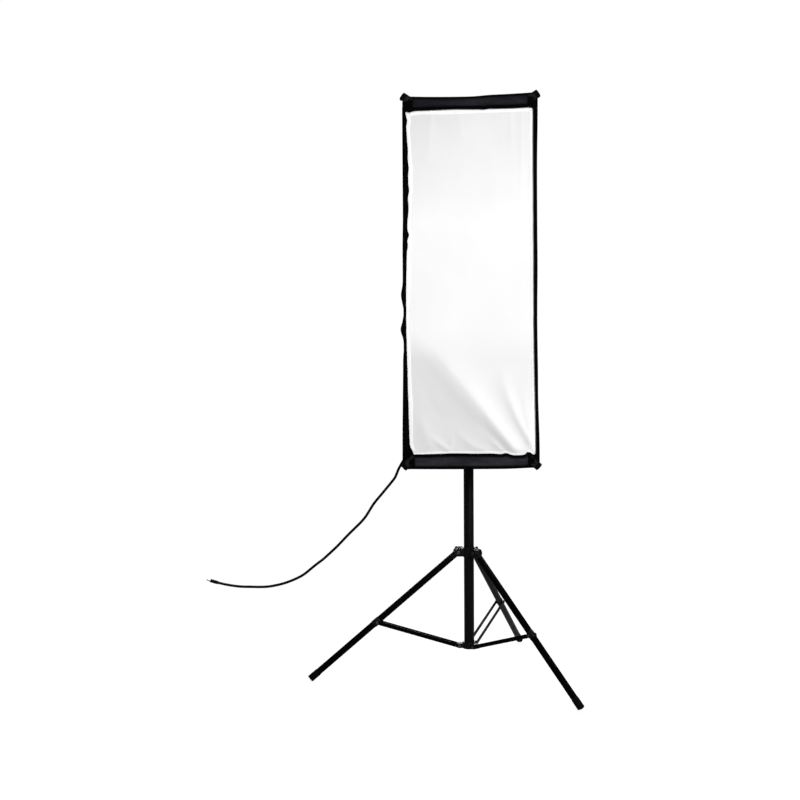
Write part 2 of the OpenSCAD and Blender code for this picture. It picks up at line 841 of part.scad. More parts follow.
main_tube();
foot_plug();
bottom_bracket();
bracket_pins();
lower_collar();
lower_bushing();
leg_collar();
leg_pins();
leg_collar_knob();
leg_end_rear();
leg_end_left();
leg_end_right();
leg_tube_rear();
leg_tube_left();
leg_tube_right();
leg_clip_rear();
leg_clip_left();
leg_clip_right();
foot_rear();
foot_left();
foot_right();
brace_rear();
brace_left();
brace_right();
brace_rivets_rear();
brace_rivets_left();
brace_rivets_right();
lower_knob();
mid_tube();
mid_glide();
upper_collar();
upper_bushing();
upper_knob();
top_tube();
top_glide();
spigot();
receiver();
receiver_knob();
umbrella_screw();
tilt_bolt();
tilt_lever();
tilt_arm();
hub();
hub_screws();
rods();
rod_ends();
rod_tips();
back_panel();
led_mat();
led_chips();
lead_terminal();
skirt();
lining();
diffuser();
front_border();
corner_pockets();
lead_boot();
lead();
plug_shell();
plug_barrel();
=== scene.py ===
"""Looks for the strip softbox: cloth, webbing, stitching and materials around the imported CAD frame."""

import json
import math

import bpy
from mathutils import Matrix, Vector, noise


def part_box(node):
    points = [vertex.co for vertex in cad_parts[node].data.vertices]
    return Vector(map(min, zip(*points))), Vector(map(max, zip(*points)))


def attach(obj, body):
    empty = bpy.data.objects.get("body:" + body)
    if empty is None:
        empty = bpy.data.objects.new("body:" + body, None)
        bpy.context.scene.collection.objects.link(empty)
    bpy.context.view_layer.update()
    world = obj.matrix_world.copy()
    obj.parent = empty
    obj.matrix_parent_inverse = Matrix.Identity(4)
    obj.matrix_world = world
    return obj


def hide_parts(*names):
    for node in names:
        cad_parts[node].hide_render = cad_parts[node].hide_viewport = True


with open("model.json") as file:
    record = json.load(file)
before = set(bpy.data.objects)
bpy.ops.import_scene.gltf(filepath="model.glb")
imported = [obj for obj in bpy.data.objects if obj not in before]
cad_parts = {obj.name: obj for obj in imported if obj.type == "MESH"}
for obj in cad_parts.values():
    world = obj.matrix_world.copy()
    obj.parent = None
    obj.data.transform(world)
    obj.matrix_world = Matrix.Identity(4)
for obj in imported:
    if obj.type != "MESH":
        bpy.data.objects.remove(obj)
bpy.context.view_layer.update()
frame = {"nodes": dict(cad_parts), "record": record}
scene = bpy.context.scene
MM = 0.001

# ---- Places taken from the frame ----

skirt_low, skirt_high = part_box("skirt")
border_low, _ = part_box("front_border")
sheet_low, sheet_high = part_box("diffuser")
mat_low, mat_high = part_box("led_mat")
lining_low, lining_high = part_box("lining")
_, tips_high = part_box("rod_tips")
lead_low, lead_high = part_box("lead")

HALF_W = (skirt_high.x - skirt_low.x) / 2
HALF_H = (skirt_high.z - skirt_low.z) / 2
CENTRE_X = (skirt_high.x + skirt_low.x) / 2
CENTRE_Z = (skirt_high.z + skirt_low.z) / 2
BACK_Y = skirt_high.y
FRONT_Y = skirt_low.y
DEPTH = BACK_Y - FRONT_Y
BORDER_Y = border_low.y
# The rods' rounded tips: their radius, and how far their middles lie from the box's middle
TIP_R = 3.3 * MM
TIP_X = tips_high.x - TIP_R
TIP_Z = tips_high.z - CENTRE_Z - TIP_R

# ---- The fabric box's shape ----

CORNER_R = 14 * MM
OPENING_R = 5 * MM
CLOTH_T = 2.2 * MM
# Steps along each long side, along the top and the bottom, and round each corner
SIDE_STEPS = 150
TOP_STEPS = 54
ARC_STEPS = 7
# The front border: the height of its bands and the nominal widths of its sides
BAND_H = 38 * MM
LEFT_BORDER = 9.5 * MM
RIGHT_BORDER = 10.5 * MM
# How far the top leans up to the right of the middle, how far the top and the bottom sag between their
# corners, and how far they are pulled up to the right
SKEW = 2.7 * MM
TOP_SAG = 4.5 * MM
BOTTOM_SAG = 1.2 * MM
TOP_PULL = 2.6 * MM
BOTTOM_PULL = 2.4 * MM
# The side cloth: how far it is pulled in halfway from back to front, its wide and narrow ripples, and the
# short waves beside its corners
PULL_IN = 3.4 * MM
WIDE_RIPPLE = 1.3 * MM
NARROW_RIPPLE = 0.45 * MM
CORNER_WAVES = 0.9 * MM

# Folds and puckers are given by their middle in metres from the box's middle, by how many millimetres they
# stand, and by their half length in metres. Folds in the slack left edge, by height, stand outwards.
LEFT_FOLDS = ((-0.029, 4.8, 0.020), (-0.073, -2.8, 0.012), (-0.119, 6.4, 0.017), (-0.163, -2.2, 0.020))
# Folds in the left border's inner edge, by height, stand into the opening
BORDER_FOLDS = (
    (0.360, 3.0, 0.075),
    (0.422, 3.4, 0.010),
    (0.351, 1.2, 0.012),
    (0.302, 1.8, 0.012),
    (0.244, 1.8, 0.008),
    (0.220, -1.8, 0.010),
    (0.155, -1.8, 0.025),
    (0.127, 4.0, 0.007),
    (0.098, 2.2, 0.007),
    (-0.445, 10.0, 0.015),
)
# Puckers in the bands' inner edges, by their distance to the right, stand upwards
TOP_PUCKERS = ((-0.156, -4.0, 0.009), (-0.035, 5.4, 0.085), (0.036, -1.8, 0.007), (0.165, -3.0, 0.006))
BOTTOM_PUCKERS = ((-0.15, -2.0, 0.05), (-0.04, 1.2, 0.04), (0.092, 4.6, 0.0085), (0.150, 8.8, 0.0065))


def bell(x, middle, half_length):
    """A smooth bump of height 1."""
    return math.exp(-(((x - middle) / half_length) ** 2))


def bumps(x, table):
    """The sum at x of a table's bumps, each given as its middle, its height and its half length."""
    return sum(height * bell(x, middle, half_length) for middle, height, half_length in table)


def ramp(x, low=0.0, high=1.0):
    """0 below low, 1 above high, and a straight rise between them."""
    return min(1.0, max(0.0, (x - low) / (high - low)))


def smooth(x, low=0.0, high=1.0):
    """0 below low, 1 above high, and a smooth rise between them."""
    t = ramp(x, low, high)
    return t * t * (3 - 2 * t)


def shares_of(steps):
    """The shares from 0 to 1 that part a length into equal steps."""
    return [i / steps for i in range(steps + 1)]


def spread(half, steps):
    """Places in equal steps from -half to half."""
    return [half * (2 * t - 1) for t in shares_of(steps)]


def between(start, end, steps):
    """Points in equal steps from one (u, v) point to another."""
    (u0, v0), (u1, v1) = start, end
    return [(u0 + (u1 - u0) * t, v0 + (v1 - v0) * t) for t in shares_of(steps)]


def rounded_loop(half_w, half_h, radius):
    """(u, v, normal u, normal v) round a rounded rectangle, anticlockwise from its upper right corner."""
    corners = ((1, 1), (-1, 1), (-1, -1), (1, -1))
    points = []
    for i, (side, up) in enumerate(corners):
        middle_u = side * (half_w - radius)
        middle_v = up * (half_h - radius)
        for k in range(ARC_STEPS + 1):
            angle = math.radians(90 * i + 90 * k / ARC_STEPS)
            nu, nv = math.cos(angle), math.sin(angle)
            points.append((middle_u + radius * nu, middle_v + radius * nv, nu, nv))
        next_side, next_up = corners[(i + 1) % 4]
        steps = TOP_STEPS if i % 2 == 0 else SIDE_STEPS
        u0, v0, nu, nv = points[-1]
        u1 = next_side * (half_w - radius) + radius * nu
        v1 = next_up * (half_h - radius) + radius * nv
        points += [(u, v, nu, nv) for u, v in between((u0, v0), (u1, v1), steps)[1:-1]]
    return points


OUTLINE = rounded_loop(HALF_W, HALF_H, CORNER_R)


def box_point(u, v, forward):
    """The point u right of and v above the box's middle, and forward of the skirt's front edge."""
    return Vector((CENTRE_X + u, FRONT_Y - forward, CENTRE_Z + v))


def hang(u, v):
    """How far up the cloth stands: it leans up to the right and sags between its corners."""
    share_u = u / HALF_W
    span = 1 - share_u * share_u
    top = SKEW * share_u - TOP_SAG * span + TOP_PULL * smooth(u, 0.0, 0.06)
    bottom = -BOTTOM_SAG * span + BOTTOM_PULL * smooth(u, 0.08, 0.175)
    return bottom + (top - bottom) * smooth(v / HALF_H, -1.0, 1.0)


def left_lean(v):
    """How far the front edge of the left side stands out."""
    return (3.2 * smooth(-v, 0.15, 0.45) - 2.0 * smooth(v, 0.08, 0.22) + bumps(v, LEFT_FOLDS)) * MM


def right_lean(v):
    """How far the front edge of the right side stands out."""
    wave = 0.9 * math.sin(v * 17) - 1.3 * bell(v, 0.12, 0.08)
    return (wave - 2.2 + 5.6 * smooth(-v, 0.28, 0.45)) * MM


def side_stand(u, v, nu, q):
    """How far the side cloth stands out, at the share q of the depth from back to front."""
    along = v / HALF_H if abs(nu) > 0.7 else u / HALF_W
    span = 1 - along * along
    pull = -PULL_IN * span * math.sin(math.pi * q) ** 0.8
    slow = noise.noise(Vector((u * 9 + 3.1, v * 6.5, q * 1.6)))
    fine = noise.noise(Vector((u * 30, v * 30 + 7.7, q * 5.0)))
    ripple = (WIDE_RIPPLE * slow + NARROW_RIPPLE * fine) * math.sin(math.pi * min(q, 0.97))
    near_corner = abs(along) ** 8 * math.sin(math.pi * q)
    tension = CORNER_WAVES * near_corner * math.sin(22 * (abs(along) * 1.4 + q))
    stand = pull + ripple + tension
    if nu < 0:
        stand -= nu * left_lean(v) * smooth(q, 0.4, 1.0)
    else:
        stand += nu * right_lean(v) * smooth(q, 0.4, 1.0)
    return stand


def side_point(station, q, lift=0.0):
    """A point on the outside of the side cloth."""
    u, v, nu, nv = OUTLINE[station % len(OUTLINE)]
    stand = side_stand(u, v, nu, q) + lift
    up = hang(u, v) * smooth(q, 0.0, 1.0)
    return box_point(u + nu * stand, v + nv * stand + up, -DEPTH * (1 - q))


def opening_edge(station):
    """The inner edge of the front border beside a station of the outline, as (u, v).

    Its widths and rises are in millimetres.
    """
    _, v, nu, nv = OUTLINE[station % len(OUTLINE)]
    iu, iv, _, _ = OPENING[station % len(OUTLINE)]
    if nu < -0.2:
        width = 5.0 + 8.0 * bell(v, 0.23, 0.14) + 7.0 * ramp(-v, 0.13, 0.44) + bumps(iv, BORDER_FOLDS)
        width += 0.5 * noise.noise(Vector((0.3, v * 38, 0.0)))
        iu += (width * MM - LEFT_BORDER) * min(1.0, -nu * 1.2)
    if nu > 0.2:
        width = 8.7 + 1.2 * ramp(v, 0.12, 0.36) - 4.8 * ramp(-v, 0.12, 0.43) ** 1.2
        width += 0.3 * noise.noise(Vector((5.3, v * 30, 0.0)))
        iu -= (width * MM - RIGHT_BORDER) * min(1.0, nu * 1.2)
    if nv < -0.2:
        rise = bumps(iu, BOTTOM_PUCKERS) - 6.5 * smooth(iu, 0.05, 0.13)
        rise += 0.5 * noise.noise(Vector((iu * 34, 2.0, 0.0)))
        iv += rise * MM * min(1.0, -nv * 1.2)
    if nv > 0.2:
        rise = bumps(iu, TOP_PUCKERS) + 3.2
        rise += 0.4 * noise.noise(Vector((iu * 30, 9.0, 0.0)))
        iv += rise * MM * min(1.0, nv * 1.2)
    return iu, iv + hang(iu, iv)


OPENING_HALF_W = (2 * HALF_W - LEFT_BORDER - RIGHT_BORDER) / 2
OPENING_SHIFT = (LEFT_BORDER - RIGHT_BORDER) / 2
OPENING = [
    (u + OPENING_SHIFT, v, nu, nv)
    for u, v, nu, nv in rounded_loop(OPENING_HALF_W, HALF_H - BAND_H, OPENING_R)
]


def border_point(station, share, lift=0.0):
    """A point on the front of the border: share 0 is its outer edge and 1 is the edge of the opening."""
    u, v, nu, nv = OUTLINE[station % len(OUTLINE)]
    stand = side_stand(u, v, nu, 1.0)
    u0 = u + nu * stand
    v0 = v + nv * stand + hang(u, v)
    u1, v1 = opening_edge(station)
    band = nv * nv
    dome = (0.5 + 1.1 * band) * MM * math.sin(math.pi * share) ** 0.6
    puff = 0.5 * MM * band * math.sin(math.pi * share)
    puff *= noise.noise(Vector((u0 * 22, share * 2.2, v0 * 22)))
    forward = (FRONT_Y - BORDER_Y) * smooth(share, -0.02, 0.06) + dome + puff + lift
    return box_point(u0 + (u1 - u0) * share, v0 + (v1 - v0) * share, forward)


# Folds in the diffusion cloth, as metres right of and above the box's middle: where each one starts, where
# it ends, its half width at either end, how many millimetres it stands forward, and its bow as a share of
# its length. The long ones fan out from the lower right corner.
SHEET_FOLDS = (
    (0.122, -0.443, -0.115, -0.146, 0.015, 0.046, 9.0, 0.0),
    (0.163, -0.432, 0.074, -0.215, 0.008, 0.024, 6.0, 0.04),
    (0.166, -0.420, 0.135, -0.250, 0.005, 0.014, 1.8, 0.04),
    (0.098, -0.442, 0.012, -0.352, 0.006, 0.014, -1.8, 0.0),
    (0.082, -0.438, 0.046, -0.404, 0.003, 0.004, 1.7, 0.0),
    (0.044, -0.440, -0.040, -0.384, 0.007, 0.014, 2.4, 0.08),
    (-0.056, -0.438, -0.112, -0.396, 0.005, 0.008, 2.6, 0.0),
    (-0.054, -0.440, -0.050, -0.394, 0.004, 0.005, 0.9, 0.0),
    (-0.106, -0.430, -0.138, -0.335, 0.020, 0.026, 3.2, 0.0),
    (-0.078, -0.350, -0.140, -0.225, 0.012, 0.020, -0.9, 0.05),
    (0.030, -0.330, -0.060, -0.215, 0.012, 0.020, -0.8, 0.0),
    (0.104, 0.446, 0.110, 0.300, 0.005, 0.008, 0.7, 0.0),
    (0.132, 0.446, 0.134, 0.180, 0.004, 0.006, 0.7, 0.0),
    (-0.100, 0.446, -0.112, 0.290, 0.006, 0.012, 0.8, 0.0),
    (-0.030, 0.446, -0.018, 0.340, 0.008, 0.012, 0.6, 0.0),
)
SHEET_HALF_W = OPENING_HALF_W + 7 * MM
SHEET_HALF_H = HALF_H - BAND_H + 20 * MM
SHEET_Y = (sheet_low.y + sheet_high.y) / 2


def fold_height(u, v, fold):
    """How far one fold lifts the diffusion cloth, in millimetres."""
    u0, v0, u1, v1, width0, width1, size, bow = fold
    du, dv = u1 - u0, v1 - v0
    length = math.hypot(du, dv)
    t = ((u - u0) * du + (v - v0) * dv) / length**2
    if t < -0.3 or t > 1.2:
        return 0.0
    bend = bow * length * math.sin(math.pi * ramp(t))
    aside = ((u - u0) * dv - (v - v0) * du) / length + bend
    width = width0 + (width1 - width0) * ramp(t)
    crest = math.exp(-abs(aside / width) ** 1.5)
    return size * crest * smooth(t, -0.12, 0.10) * (1 - smooth(t, 0.45, 1.1))


def billow(u, v):
    """How far the diffusion cloth stands forward of the plane that its edges lie in."""
    height = sum(fold_height(u, v, fold) for fold in SHEET_FOLDS)
    height += 1.5 * noise.noise(Vector((u * 7, v * 4, 4.4)))
    height += 0.35 * noise.noise(Vector((u * 26, v * 19, 1.0)))
    edge = min(OPENING_HALF_W - abs(u - OPENING_SHIFT), HALF_H - BAND_H - abs(v))
    return height * MM * smooth(edge, -0.006, 0.014)


def sheet_point(u, v, lift=0.0):
    """A point on the diffusion cloth, u right of and v above the box's middle before the cloth hangs."""
    return Vector((CENTRE_X + u, SHEET_Y - billow(u, v) - lift, CENTRE_Z + v + hang(u, v)))


# ---- Mesh helpers ----

# The way that the box's front faces
FORWARD = Vector((0, -1, 0))


def add_piece(name, verts, faces):
    """A smooth-shaded mesh object."""
    mesh = bpy.data.meshes.new(name)
    mesh.from_pydata([tuple(p) for p in verts], [], faces)
    mesh.validate()
    mesh.update()
    mesh.polygons.foreach_set("use_smooth", [True] * len(mesh.polygons))
    piece = bpy.data.objects.new(name, mesh)
    scene.collection.objects.link(piece)
    return piece


def hold_painted_light(piece, values):
    """Writes the painted light at each of the piece's points, from 0 to 1: painted highlight where high,
    painted shade where low.
    """
    piece.data.attributes.new(PAINTED_LIGHT, "FLOAT", "POINT").data.foreach_set("value", values)


def strip_faces(rows, columns, ring_columns=False, ring_rows=False):
    """Quads over a grid of rows and columns; a ring joins its last column or row to its first."""
    faces = []
    for r in range(rows if ring_rows else rows - 1):
        for c in range(columns if ring_columns else columns - 1):
            a = r * columns + c
            b = r * columns + (c + 1) % columns
            over = ((r + 1) % rows) * columns
            faces.append((a, b, over + (c + 1) % columns, over + c))
    return faces


def add_sheet(name, rows, ring_columns=False, ring_rows=False):
    """A piece whose points are rows of equally many points."""
    verts = [p for row in rows for p in row]
    return add_piece(name, verts, strip_faces(len(rows), len(rows[0]), ring_columns, ring_rows))


def thicken(piece, thickness, offset=-1.0):
    """Makes a sheet thick: behind its surface at offset -1, before it at 1, and on both sides at 0."""
    modifier = piece.modifiers.new("thickness", "SOLIDIFY")
    modifier.thickness = thickness
    modifier.offset = offset
    modifier.use_even_offset = False


def along(path, closed=False):
    """(point, tangent) for each point of a path."""
    count = len(path)
    placed = []
    for i, p in enumerate(path):
        before = path[(i - 1) % count] if closed or i > 0 else p
        after = path[(i + 1) % count] if closed or i < count - 1 else p
        placed.append((p, (after - before).normalized()))
    return placed


def sweep(name, path, section, closed=False):
    """Sweeps a section along a path; the section's points are (across, forward) pairs."""
    rows = []
    for point, tangent in along(path, closed):
        across = tangent.cross(FORWARD).normalized()
        upright = across.cross(tangent).normalized()
        rows.append([point + across * a + upright * b for a, b in section])
    count = len(section)
    faces = strip_faces(len(rows), count, ring_columns=True, ring_rows=closed)
    if not closed:
        last = (len(rows) - 1) * count
        faces.append(tuple(reversed(range(count))))
        faces.append(tuple(range(last, last + count)))
    return add_piece(name, [p for row in rows for p in row], faces)


def oval(half_w, half_h, count=10):
    """The section of a round or flattened cord."""
    turns = [2 * math.pi * i / count for i in range(count)]
    return [(half_w * math.cos(t), half_h * math.sin(t)) for t in turns]


THREAD_R = 0.28 * MM
# A stitch's spindle, as shares of its length and of the thread's radius
SPINDLE = ((0.0, 0.25), (0.18, 0.95), (0.82, 0.95), (1.0, 0.25))


def stitch_run(verts, faces, run, stitch, gap):
    """Adds a row of thread stitches along a run of (point, normal) pairs, each a small closed spindle."""
    sides = 6
    travelled = 0.0
    next_start = gap
    for (a, normal), (b, _) in zip(run, run[1:]):
        length = (b - a).length
        if length < 1e-9:
            continue
        while next_start <= travelled + length:
            t = (next_start - travelled) / length
            start = a.lerp(b, t)
            direction = (b - a).normalized()
            across = direction.cross(normal).normalized()
            first = len(verts)
            for share, width in SPINDLE:
                sink = (1 - width) * THREAD_R
                middle = start + direction * (stitch * share) - normal * sink
                for a_across, a_up in oval(THREAD_R * width, THREAD_R * width, sides):
                    verts.append(middle + across * a_across + normal * a_up)
            for quad in strip_faces(len(SPINDLE), sides, ring_columns=True):
                faces.append(tuple(first + corner for corner in quad))
            last = first + (len(SPINDLE) - 1) * sides
            faces.append(tuple(first + k for k in reversed(range(sides))))
            faces.append(tuple(last + k for k in range(sides)))
            next_start += stitch + gap
        travelled += length


# ---- Materials ----

# The name of the point attribute that holds painted highlight and shade
PAINTED_LIGHT = "painted_light"
# The distance in metres from ridge to ridge of a wave texture whose scale is 1
WAVE_PERIOD = 0.314


class Shader:
    """A material whose nodes are added one at a time, on top of a Principled surface."""

    def __init__(self, name, roughness=0.5, metallic=0.0, specular=0.5):
        self.material = bpy.data.materials.new(name)
        self.material.use_nodes = True
        self.tree = self.material.node_tree
        self.surface = self.tree.nodes["Principled BSDF"]
        self.place = self.tree.nodes.new("ShaderNodeTexCoord").outputs["Object"]
        self.height = None
        self.set("Roughness", roughness)
        self.set("Metallic", metallic)
        self.set("Specular IOR Level", specular)

    def set(self, name, value):
        self.surface.inputs[name].default_value = value

    def link(self, output, target):
        self.tree.links.new(output, target)

    def node(self, kind, **values):
        """A node with its inputs set by name; a value that is a node's output is linked."""
        made = self.tree.nodes.new(kind)
        for name, value in values.items():
            target = made.inputs[name.replace("_", " ")]
            if isinstance(value, bpy.types.NodeSocket):
                self.link(value, target)
            else:
                target.default_value = value
        return made

    def stretched(self, x, y, z):
        """Object coordinates scaled differently along each axis."""
        return self.node("ShaderNodeMapping", Vector=self.place, Scale=(x, y, z)).outputs["Vector"]

    def noise(self, scale, detail=3.0, place=None):
        place = place or self.place
        return self.node("ShaderNodeTexNoise", Vector=place, Scale=scale, Detail=detail).outputs["Fac"]

    def wave(self, pitch, direction):
        """A row of ridges pitch apart along X, Y or Z."""
        made = self.node("ShaderNodeTexWave", Vector=self.place, Scale=WAVE_PERIOD / pitch)
        made.bands_direction = direction
        return made.outputs["Fac"]

    def maths(self, operation, *values):
        made = self.tree.nodes.new("ShaderNodeMath")
        made.operation = operation
        for i, value in enumerate(values):
            if isinstance(value, bpy.types.NodeSocket):
                self.link(value, made.inputs[i])
            else:
                made.inputs[i].default_value = value
        return made.outputs["Value"]

    def remap(self, value, low, high, to_low, to_high):
        limits = {"From_Min": low, "From_Max": high, "To_Min": to_low, "To_Max": to_high}
        return self.node("ShaderNodeMapRange", Value=value, **limits).outputs["Result"]

    def tint(self, share, colour_a, colour_b):
        """Base colour between two colours."""
        made = self.tree.nodes.new("ShaderNodeMix")
        made.data_type = "RGBA"
        self.link(share, made.inputs["Factor"])
        made.inputs[6].default_value = (*colour_a, 1)
        made.inputs[7].default_value = (*colour_b, 1)
        self.link(made.outputs[2], self.surface.inputs["Base Color"])
        return made.outputs[2]

    def painted_light_share(self, share):
        """A share of the painted highlight and shade that the piece's own mesh holds."""
        held = self.tree.nodes.new("ShaderNodeAttribute")
        held.attribute_name = PAINTED_LIGHT
        return self.maths("MULTIPLY", held.outputs["Fac"], share)

    def rough(self, value, low, high):
        self.link(self.remap(value, 0.3, 0.7, low, high), self.surface.inputs["Roughness"])

    def bump(self, height, distance, strength=1.0):
        """Adds a layer of relief, distance high in metres, over the layers before it."""
        made = self.node("ShaderNodeBump", Height=height, Distance=distance, Strength=strength)
        if self.height is not None:
            self.link(self.height, made.inputs["Normal"])
        self.height = made.outputs["Normal"]
        self.link(self.height, self.surface.inputs["Normal"])

    def weave(self, pitch, depth, across="X", up="Z"):
        """Crossing threads: each thread stands over its neighbours by turns."""
        warp = self.wave(pitch, across)
        weft = self.wave(pitch, up)
        self.bump(self.maths("MAXIMUM", warp, weft), depth)
        return self.maths("MULTIPLY", warp, weft)


def grained(name, blotches, low, high, grain, patches, metallic=0.0, specular=0.5):
    """A plain material: blotches of two colours, a fine grain, and smoother and rougher patches.

    Each of the three is a noise's scale and detail. After them the grain has its height in metres and its
    strength, and the patches have their lowest and highest roughness.
    """
    shader = Shader(name, metallic=metallic, specular=specular)
    shader.tint(shader.noise(*blotches), low, high)
    shader.bump(shader.noise(*grain[:2]), *grain[2:])
    shader.rough(shader.noise(*patches[:2]), *patches[2:])
    return shader.material


def powder_coat(name="powder_coat", level=1.0):
    # A level other than 1 makes a copy of the coat painted paler or blacker, gloss included, as painted
    # highlight or shade
    low = (0.0012 * level, 0.0012 * level, 0.0013 * level)
    high = (0.0028 * level, 0.0028 * level, 0.0030 * level)
    grain = (1500, 2, 0.00012, 0.5)
    return grained(name, (26, 4), low, high, grain, (60, 5, 0.34, 0.52), specular=0.05 * level)


def black_nylon():
    low, high = (0.0020, 0.0020, 0.0022), (0.0045, 0.0045, 0.0048)
    grain = (900, 3, 0.00010, 0.6)
    return grained("black_nylon", (40, 3), low, high, grain, (90, 4, 0.48, 0.64), specular=0.08)


def rubber():
    shader = Shader("rubber", 0.8, specular=0.04)
    dust = shader.noise(120, 6)
    shader.tint(shader.remap(dust, 0.5, 0.75, 0, 1), (0.0015, 0.0015, 0.0016), (0.0050, 0.0049, 0.0047))
    shader.bump(shader.noise(500, 4), 0.00015, 0.6)
    return shader.material


def steel():
    shader = Shader("steel", metallic=1.0)
    brushed = shader.noise(90, 4, shader.stretched(12, 12, 0.6))
    shader.tint(brushed, (0.48, 0.49, 0.51), (0.62, 0.63, 0.66))
    shader.bump(brushed, 0.00003, 0.4)
    shader.rough(shader.noise(160, 4), 0.22, 0.42)
    return shader.material


def natural_nylon():
    shader = Shader("natural_nylon", 0.45)
    shader.tint(shader.noise(50, 3), (0.68, 0.66, 0.58), (0.76, 0.74, 0.68))
    shader.bump(shader.noise(700, 2), 0.00006, 0.5)
    return shader.material


def rod_glass():
    shader = Shader("rod_glass", 0.35, specular=0.3)
    fibres = shader.noise(140, 4, shader.stretched(6, 6, 0.5))
    shader.tint(fibres, (0.006, 0.006, 0.007), (0.015, 0.015, 0.017))
    shader.bump(fibres, 0.00005, 0.4)
    return shader.material


def rod_steel():
    low, high = (0.025, 0.025, 0.027), (0.055, 0.055, 0.058)
    grain = (900, 2, 0.00004, 0.4)
    return grained("rod_steel", (200, 5), low, high, grain, (120, 4, 0.28, 0.45), metallic=0.7)


def knob_plastic():
    low, high = (0.0022, 0.0022, 0.0024), (0.0045, 0.0045, 0.0048)
    grain = (600, 2, 0.00004, 0.5)
    return grained("knob_plastic", (60, 3), low, high, grain, (110, 5, 0.2, 0.4), specular=0.16)


def box_cloth(name="box_cloth", across="X", up="Z", painted_light_level=1.0, sheen=0.004):
    """Coated black nylon, with its threads along two axes. Copies made at another level are painted paler
    or blacker, gloss included, as painted light and shade.
    """
    shader = Shader(name, specular=0.02 * painted_light_level)
    rub = shader.noise(14, 5)
    low = (0.0010 * painted_light_level, 0.0010 * painted_light_level, 0.0012 * painted_light_level)
    high = (0.0026 * painted_light_level, 0.0026 * painted_light_level, 0.0032 * painted_light_level)
    shader.tint(shader.remap(rub, 0.3, 0.7, 0, 1), low, high)
    shader.weave(0.8 * MM, 0.00009, across, up)
    shader.bump(shader.noise(70, 4), 0.0006, 0.5)
    shader.rough(shader.noise(22, 4), 0.5, 0.75)
    shader.set("Sheen Weight", sheen)
    shader.set("Sheen Roughness", 0.4)
    return shader.material


def loop_tape():
    """The looped face of hook-and-loop tape, with a painted highlight down its middle that fades to black
    along its edges and ends, as its mesh holds it.
    """
    shader = Shader("loop_tape", 0.95, specular=0.03)
    fuzz = shader.noise(650, 6)
    streaks = shader.remap(shader.noise(16, 3, shader.stretched(1, 1, 4)), 0.35, 0.65, 0.45, 1.0)
    # Painted highlight from the mesh, broken up by random streaks and the fuzz
    painted_light_share = shader.painted_light_share(shader.maths("MULTIPLY", streaks, shader.remap(fuzz, 0.35, 0.7, 0.5, 1.0)))
    shader.tint(painted_light_share, (0.0010, 0.0010, 0.0013), (0.0480, 0.0480, 0.0580))
    shader.bump(fuzz, 0.0006, 0.7)
    shader.set("Sheen Weight", 0.02)
    shader.set("Sheen Roughness", 0.6)
    shader.set("Sheen Tint", (0.35, 0.36, 0.42, 1))
    return shader.material


def webbing(name="webbing", painted_highlight=False):
    """Black woven webbing. With the flag set, its rib colour takes painted highlight and shade from its
    mesh.
    """
    shader = Shader(name, specular=0.04)
    ribs = shader.wave(1.5 * MM, "DIAGONAL")
    fine = shader.wave(0.7 * MM, "X")
    if painted_highlight:
        shader.tint(shader.painted_light_share(ribs), (0.0008, 0.0008, 0.0009), (0.0300, 0.0300, 0.0330))
    else:
        shader.tint(ribs, (0.0060, 0.0060, 0.0068), (0.0200, 0.0200, 0.0220))
    shader.bump(ribs, 0.00022)
    shader.bump(fine, 0.0001, 0.6)
    shader.rough(shader.noise(90, 4), 0.6, 0.85)
    return shader.material


def binding():
    """Narrow ribbed tape folded over a raw edge."""
    shader = Shader("binding", 0.75, specular=0.02)
    ribs = shader.noise(380, 3, shader.stretched(1.0, 1.0, 2.5))
    shader.tint(ribs, (0.0005, 0.0005, 0.0006), (0.0014, 0.0014, 0.0016))
    shader.bump(ribs, 0.00022, 0.6)
    return shader.material


def silver_cloth():
    shader = Shader("silver_cloth", 0.38, metallic=0.75)
    crinkle = shader.noise(48, 6)
    shader.tint(crinkle, (0.58, 0.59, 0.61), (0.82, 0.83, 0.85))
    shader.bump(crinkle, 0.0012, 0.7)
    shader.weave(0.9 * MM, 0.00005, "Y", "Z")
    return shader.material


# Height at which the shading of the diffusion cloth's long fold would cross the box's middle
FOLD_Z = CENTRE_Z - 0.298


